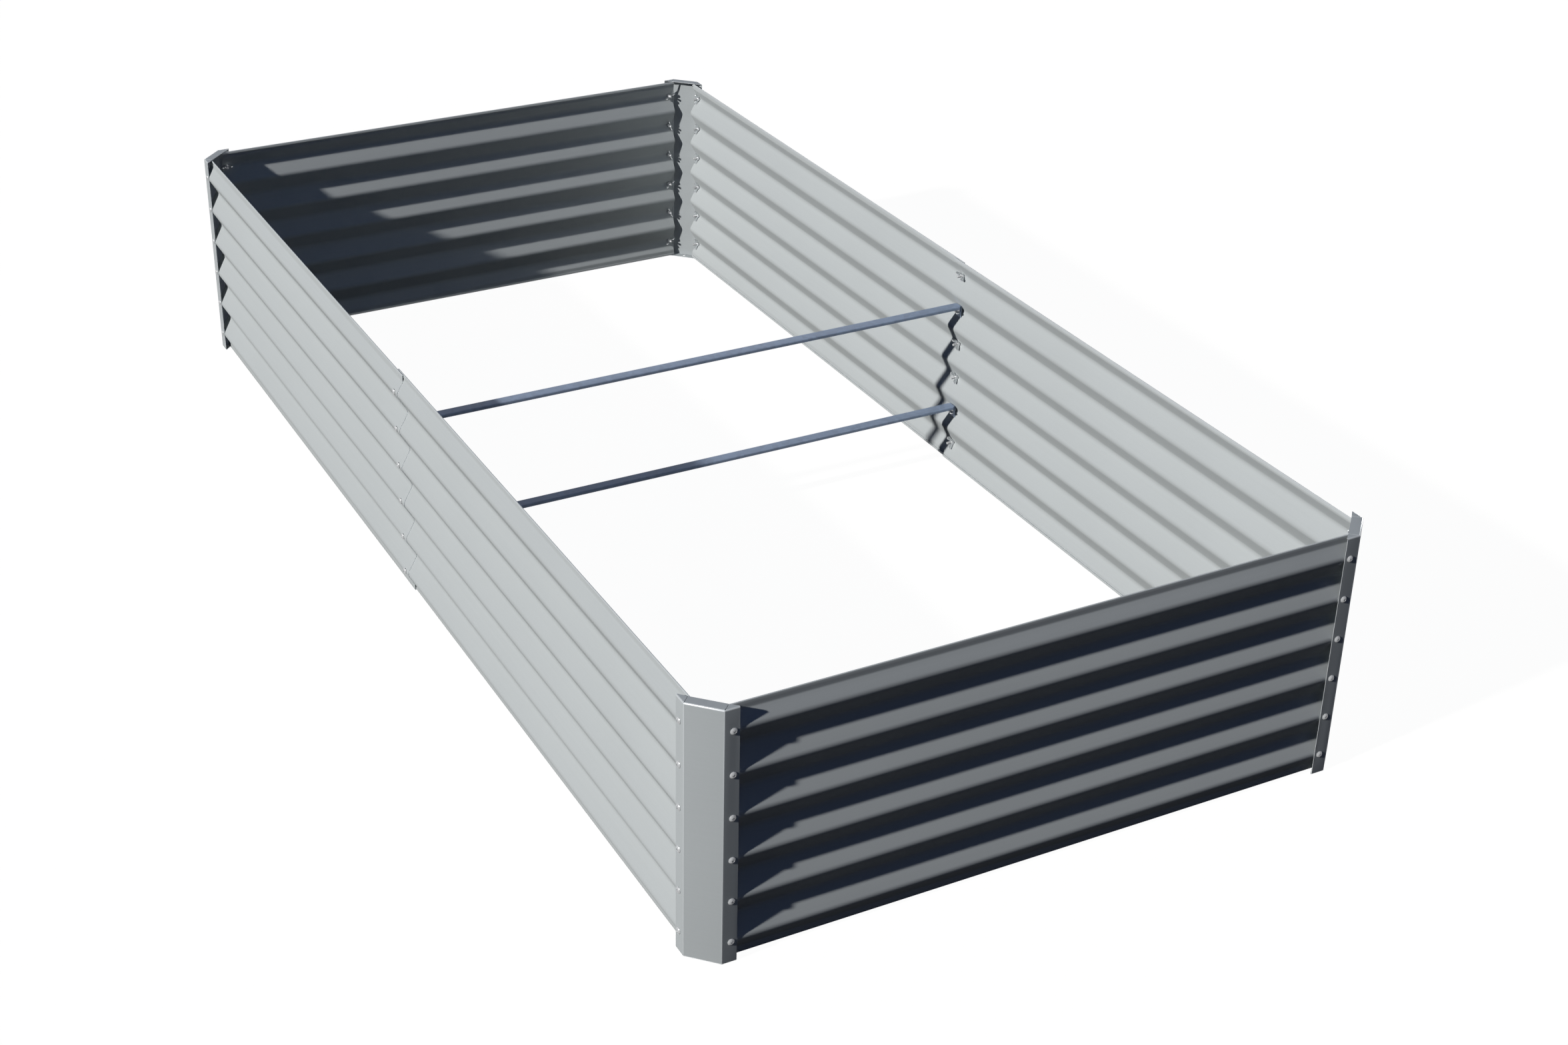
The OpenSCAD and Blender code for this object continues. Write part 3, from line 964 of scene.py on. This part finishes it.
@dataclass(frozen=True)
class Screw:
    """A pan head screw, its seat at y 0 and its shank along +Y."""

    shank_r: float = 2.45 * MM
    length: float = 16 * MM
    head_r: float = 5.2 * MM
    head_h: float = 3 * MM
    rim: float = 0.6 * MM
    soft: float = 0.12 * MM
    dome_rings: int = 6
    dome_start: float = 0.02
    dome_reach: float = 0.96
    dome_spread: float = 0.8
    cross_l: float = 5 * MM
    cross_w: float = 1.4 * MM
    cross_d: float = 1.5 * MM
    cross_taper: float = 0.6
    thread_pitch: float = 0.8 * MM
    thread_depth: float = 0.42 * MM
    plain: float = 3.2 * MM
    point: float = 0.5 * MM
    sides: int = 16
    steps: int = 4

    def mesh(self) -> Mesh:
        """Makes the whole screw: recessed head and threaded shank.

        Returns:
            The mesh.
        """
        cap = self.head_h - self.rim
        ball = (self.head_r**2 + cap**2) / (2 * cap)
        dome = []
        for k in range(self.dome_rings):
            share = (k / (self.dome_rings - 1)) ** self.dome_spread
            radius = self.head_r * (self.dome_start + self.dome_reach * share)
            dome.append((radius, ball - math.sqrt(ball**2 - radius**2) - self.head_h))
        head = spun("screw", *dome, (self.head_r, -self.rim), (self.head_r, -self.soft),
                    (self.head_r - self.soft, 0.0), (self.shank_r / 2, 0.0))
        half = self.cross_l / 2
        taper = half * self.cross_taper
        top, floor = -self.head_h - OVERSHOOT, self.cross_d - self.head_h
        slot = ((-half, top), (half, top), (half, -self.head_h), (taper, floor),
                (-taper, floor), (-half, -self.head_h))
        first, second = (bar(name, slot, self.cross_w) for name in ("slot_a", "slot_b"))
        second.transform(Matrix.Rotation(math.pi / 2, 4, "Y"))
        work = bmesh.new()
        work.from_mesh(carved(head, (Cut.REMOVE, first), (Cut.REMOVE, second)))
        rows = int((self.length - self.plain) / self.thread_pitch * self.steps)
        threads = (self.plain + k * self.thread_pitch / self.steps for k in range(rows))
        ways = [k / self.sides for k in range(self.sides)]
        add_tube(work, [(y, [self._radius(y, way) for way in ways])
                        for y in (-self.rim, *threads, self.length)])
        return finished(work, "screw")

    def _radius(self, y: float, way: float) -> float:
        """Radius of the shank, with a helical thread below its plain neck.

        Args:
            y: The height.
            way: Direction from the middle, as a share of a turn.

        Returns:
            The radius.
        """
        turn = (y / self.thread_pitch + way) % 1.0
        groove = 1 - abs(2 * turn - 1)
        lead = min(max((y - self.plain) / self.thread_pitch, 0.0), 1.0)
        end = min(max((self.length - y) / self.point, 0.0), 1.0)
        return self.shank_r - self.thread_depth * (groove * lead * end + 1 - end)


@dataclass(frozen=True)
class WingNut:
    """A cast wing nut, its seat at y 0 and its wings rising along +Y."""

    hub_r: float = 4.5 * MM
    top_r: float = 3.7 * MM
    hub_h: float = 5 * MM
    bore_r: float = 2.5 * MM
    span: float = 24 * MM
    wing_h: float = 11 * MM
    tip_r: float = 3.2 * MM
    root_r: float = 1.9 * MM
    root_points: int = 7
    tip_points: int = 13
    clear: float = 0.05 * MM
    thick: float = 1.8 * MM
    soft: float = 0.35 * MM
    sharp: float = math.radians(60)

    def mesh(self) -> Mesh:
        """Makes the whole nut: hub, two rounded wings and the bore.

        Returns:
            The mesh.
        """
        hub = spun("wing_nut", (self.hub_r - self.soft, 0.0), (self.hub_r, self.soft),
                   (self.top_r, self.hub_h - self.soft),
                   (self.top_r - self.soft, self.hub_h))
        right, left = self._wing("wing_right"), self._wing("wing_left")
        left.transform(Matrix.Diagonal((-1, 1, 1, 1)))
        left.flip_normals()
        bore = spun("bore", (self.bore_r, -OVERSHOOT), (self.bore_r, self.wing_h))
        return carved(hub, (Cut.JOIN, right), (Cut.JOIN, left), (Cut.REMOVE, bore))

    def _wing(self, name: str) -> Mesh:
        """Makes one wing: a rounded ear between its root and tip rounds.

        Args:
            name: The mesh's name.

        Returns:
            The mesh, with soft edges.
        """
        root = Vector((self.root_r + self.clear, self.root_r + self.clear))
        tip = Vector((self.span / 2 - self.tip_r, self.wing_h - self.tip_r))
        way = tip - root
        slope = math.atan2(way.y, way.x)
        side = math.acos((self.root_r - self.tip_r) / way.length)
        outline = []
        back = slope + 2 * math.pi - side
        for centre, radius, first, last, count in (
            (root, self.root_r, slope + side, back, self.root_points),
            (tip, self.tip_r, slope - side, slope + side, self.tip_points),
        ):
            for k in range(count):
                angle = first + (last - first) * k / (count - 1)
                outline.append((centre.x + radius * math.cos(angle),
                                centre.y + radius * math.sin(angle)))
        work = bmesh.new()
        work.from_mesh(bar(name, outline, self.thick))
        sharp = [edge for edge in work.edges if edge.calc_face_angle(0.0) > self.sharp]
        bmesh.ops.bevel(work, geom=sharp, offset=self.soft, segments=SOFT_STEPS,
                        profile=0.5, affect="EDGES")
        return finished(work, name)


@dataclass(frozen=True)
class Fastener:
    """A fastener to repeat: words for it in names of pieces and nodes, mesh, finish."""

    word: str
    nodes: str
    mesh: Mesh
    finish: Finish


@dataclass(frozen=True)
class Fasteners:
    """The columns of screws and wing nuts, repeated up the walls."""

    bed: Bed
    screw_finish: Finish
    nut_finish: Finish
    lap_shift: float
    crest_in: float
    seed: int = 11
    row_slack: float = 0.1

    @property
    def cup(self) -> float:
        """How far a nut's hub stands off the hollow side of a crest."""
        standing = self.crest_in - math.sqrt(self.crest_in**2 - WingNut.hub_r**2)
        return standing + self.bed.crest_gap

    def rule(self) -> Shape:
        """The tree that repeats one fastener up a column.

        Returns:
            The tree, with named inputs for its sizes.
        """
        bed = self.bed
        turns = self.turns([0.0] * bed.rows)
        shape = Shape("fastener_column", {
            "Rows": bed.rows, "Place": 0.0, "Depth": 0.0,
            "First height": bed.edge_rise, "Spacing": bed.pitch,
            **turns, "Random turn": 0.0, "Seed": 0, "Brace row": bed.brace_row,
            "Brace depth": 0.0, "Material": self.screw_finish.material(),
        })
        given = shape.given
        line = shape.add("GeometryNodeMeshLine", {
            "Count": given("Rows"), "Offset": shape.vector(z=given("Spacing")),
            "Start Location": shape.vector(
                given("Place"), given("Depth"), given("First height"))}, mode="OFFSET")
        row = shape.value(shape.add("GeometryNodeInputIndex"))
        nearest = row.apply("MINIMUM", given("Rows") - 1.0 - row)
        held = nearest.apply("COMPARE", given("Brace row"), self.row_slack)
        lift = held * given("Brace depth")
        lifted = shape.add("GeometryNodeSetPosition", {
            "Geometry": line, "Offset": shape.vector(y=lift)})
        chance = shape.add("FunctionNodeRandomValue", {
            2: -1.0, 3: 1.0, "Seed": given("Seed")}, data_type="FLOAT")
        chosen = shape.add("GeometryNodeIndexSwitch", data_type="FLOAT")
        while len(chosen.index_switch_items) < len(turns):
            chosen.index_switch_items.new()
        shape.feed(chosen, dict(enumerate((row, *map(given, turns)))))
        turn = shape.value(chosen) + given("Random turn") * shape.value(chance, 1)
        shape.end(shape.add("GeometryNodeInstanceOnPoints", {
            "Points": lifted, "Instance": shape.inlet.outputs["Geometry"],
            "Rotation": shape.add("FunctionNodeEulerToRotation",
                                  {0: shape.vector(y=turn)})}))
        return shape

    @staticmethod
    def turns(angles: Sequence[float]) -> dict[str, float]:
        """The tree's inputs for turns in degrees, from the lowest row up."""
        return {f"Turn {row}": math.radians(angle) for row, angle in enumerate(angles)}

    def stepped(self, first: float, step: float = 47.0) -> list[float]:
        """Turns that grow by the same step from row to row, in degrees."""
        return [first + step * row for row in range(self.bed.rows)]

    def build(self) -> None:
        """Makes the ten columns of screws and the ten of wing nuts."""
        bed = self.bed
        shape = self.rule()
        screw = Fastener("screw", "screws", Screw().mesh(), self.screw_finish)
        nut = Fastener("nut", "wing_nuts", WingNut().mesh(), self.nut_finish)
        seat = bed.panel_y + bed.panel_t + self.cup
        side, end = bed.screw_x(bed.length), bed.screw_x(bed.width)
        lap_turns = self.stepped(68, -8.4)
        lap_turns[bed.brace_row] = lap_turns[-1 - bed.brace_row] = 0.0
        columns = {
            "left_front": (side, self.stepped(20)),
            "left_rear": (-side, self.stepped(80)),
            "right_front": (side, self.stepped(35)),
            "right_rear": (-side, self.stepped(88, 3)),
            "front_left": (-end, self.stepped(35)),
            "front_right": (end, self.stepped(5)),
            "rear_left": (end, self.stepped(125)),
            "rear_right": (-end, [33, 115, 38, 111, 108, 27]),
            "left_lap": (bed.lap_x, lap_turns),
            "right_lap": (bed.lap_x, lap_turns),
        }
        for number, (spot, (x, turns)) in enumerate(columns.items()):
            lap = spot.endswith("lap")
            nut_y = seat + lap * self.lap_shift
            self._column(shape, screw, spot, {
                "Place": x, "Depth": lap * (bed.panel_y - bed.crest_gap),
                "Random turn": math.pi, "Seed": self.seed + number})
            self._column(shape, nut, spot, {
                "Place": x, "Depth": nut_y, **self.turns(turns),
                "Brace depth": lap * (self._brace_seat() - nut_y)})

    def _brace_seat(self) -> float:
        """Depth of a nut's seat on the tab of a brace, read from the model."""
        low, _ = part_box("cross_brace_upper")
        return self.bed.width / 2 + low.y + self.bed.brace_t

    def _column(self, shape: Shape, one: Fastener, spot: str,
                values: dict[str, Any]) -> None:
        """Grows and places one column.

        Args:
            shape: The tree.
            one: The fastener to repeat.
            spot: The column's wall and place on it, as in the node's name.
            values: The tree's inputs that differ between columns.
        """
        name = f"{one.word}_column_{spot}"
        mesh = shape.grow(name, one.mesh, {"Material": one.finish.material(), **values})
        wall = Wall(spot.split("_")[0])
        place(name, wall.settle(mesh, self.bed), one.finish.slot, f"{one.nodes}_{spot}")


@dataclass(frozen=True)
class Lamp:
    """A distant lamp: the way its light travels, and its width as seen from the bed."""

    name: str
    way: Triple
    strength: float
    width: float
    colour: Triple = (1.0, 0.99, 0.965)

    def hang(self) -> None:
        """Puts the lamp in the scene."""
        lamp = bpy.data.lights.new(self.name, "SUN")
        lamp.energy, lamp.angle, lamp.color = self.strength, self.width, self.colour
        turn = Vector(self.way).to_track_quat("-Z", "Y")
        linked(self.name, lamp).rotation_euler = turn.to_euler()


@dataclass(frozen=True)
class Studio:
    """Floor, backdrop, lamps and the camera of the photograph."""

    floor_half: float = 30.0
    floor_drop: float = 0.3 * MM
    floor_tint: Triple = (0.06, 0.058, 0.053)
    floor_glow: float = 0.97
    key: Lamp = Lamp("key", (-0.103, 0.877, -0.469), 3.6, math.radians(2))
    fill: Lamp = Lamp("fill", (0.55, -0.83, -0.02), 2.0, math.radians(5))
    sky: Triple = (0.034, 0.063, 0.145)
    horizon: Triple = (0.004, 0.004, 0.006)
    white: Triple = (1.0, 1.0, 1.0)
    eye: Triple = (3.32387, -1.65068, 2.06974)
    forward: Triple = (-0.78769, 0.39174, -0.47548)
    right: Triple = (0.44367, 0.89618, 0.00336)
    lens: float = 53.997
    sensor: float = 36.0
    shift: tuple[float, float] = (0.0581, -0.0228)

    def build(self) -> None:
        """Sets up everything around the bed."""
        self._floor()
        self._world()
        self.key.hang()
        self.fill.hang()
        self._camera()
        bpy.context.scene.view_settings.view_transform = "Standard"

    @staticmethod
    def _seen(graph: Graph) -> Value:
        """Tells rays that look from rays that only gather light.

        Args:
            graph: The floor's or the world's graph.

        Returns:
            1 for a ray of the eye, a mirror or glass, else 0.
        """
        path = graph.add("ShaderNodeLightPath")
        seen = graph.value(path, "Is Camera Ray")
        for name in ("Is Glossy Ray", "Is Transmission Ray"):
            seen = seen.apply("MAXIMUM", graph.value(path, name))
        return seen

    def _floor(self) -> None:
        """A plain pale floor that keeps the bed's shadow."""
        half = self.floor_half
        work = bmesh.new()
        work.faces.new([work.verts.new((x * half, y * half, -self.floor_drop))
                        for x, y in ((-1, -1), (1, -1), (1, 1), (-1, 1))])
        floor = linked("floor", finished(work, "floor"))
        material = bpy.data.materials.new("floor")
        material.use_nodes = True
        graph = Graph(material.node_tree)
        matt = graph.add("ShaderNodeBsdfDiffuse", {"Color": (*self.floor_tint, 1.0)})
        glow = graph.add("ShaderNodeEmission", {
            "Strength": self._seen(graph) * self.floor_glow})
        both = graph.add("ShaderNodeAddShader", {0: matt, 1: glow})
        graph.add("ShaderNodeOutputMaterial", {"Surface": both})
        floor.data.materials.append(material)

    def _world(self) -> None:
        """A soft sky for light, bluer overhead, and plain white where it is seen."""
        world = bpy.data.worlds.new("studio")
        world.use_nodes = True
        graph = Graph(world.node_tree)
        way = graph.add("ShaderNodeTexCoord").outputs["Generated"]
        up = graph.value(graph.add("ShaderNodeSeparateXYZ", {0: way}), "Z")
        dome = graph.mix(up.between(), (*self.horizon, 1.0), (*self.sky, 1.0))
        sky, white = (
            graph.add("ShaderNodeBackground", {"Color": colour, "Strength": 1.0})
            for colour in (dome, (*self.white, 1.0)))
        both = graph.add("ShaderNodeMixShader", {
            0: self._seen(graph), 1: sky, 2: white})
        graph.add("ShaderNodeOutputWorld", {"Surface": both})
        bpy.context.scene.world = world

    def _camera(self) -> None:
        """The camera, with the photograph's place, direction, lens and shift."""
        data = bpy.data.cameras.new("camera")
        data.lens = self.lens
        data.sensor_width = self.sensor
        data.sensor_fit = "HORIZONTAL"
        data.shift_x, data.shift_y = self.shift
        data.clip_end = 4 * self.floor_half
        forward, right = Vector(self.forward), Vector(self.right)
        up = right.cross(forward)
        turn = Matrix((right, up, -forward)).transposed().to_4x4()
        camera = linked("camera", data)
        camera.matrix_world = Matrix.Translation(self.eye) @ turn
        bpy.context.scene.camera = camera


def main() -> None:
    """Builds the bed's sub-assemblies and the studio, in order."""
    logging.basicConfig(level=logging.INFO, format="%(message)s")
    bed = Bed()
    sheet_paint = SheetPaint("satin_panel_paint", "panel_paint", (0.447, 0.472, 0.479))
    post_paint = SheetPaint("satin_post_paint", "post_paint", (0.43, 0.457, 0.468))
    # The blue in the brace colour is a painted reflection of the sky; the galvanised
    # strip itself is grey.
    brace_steel = Galvanised("galvanised_strip", "brace_steel", (0.27, 0.335, 0.45))
    screw_zinc = ZincPlate(
        "zinc_plated_screw", "screw_zinc", (0.50, 0.51, 0.52), metal=0.25)
    nut_zinc = ZincPlate("zinc_plated_nut", "nut_zinc", (0.74, 0.755, 0.77))
    panels = Panels(bed, sheet_paint)
    panels.build()
    posts = FoldedSheet(post_paint, bed.post_t)
    for corner in ("front_left", "front_right", "rear_left", "rear_right"):
        posts.build(f"post_{corner}", f"corner_post_{corner}")
    braces = FoldedSheet(brace_steel, bed.brace_t)
    for level in ("upper", "lower"):
        braces.build(f"brace_{level}", f"cross_brace_{level}")
    Fasteners(bed, screw_zinc, nut_zinc, panels.lap_shift,
              panels.bend - bed.panel_t / 2).build()
    Studio().build()


if __name__ == "__main__":
    main()
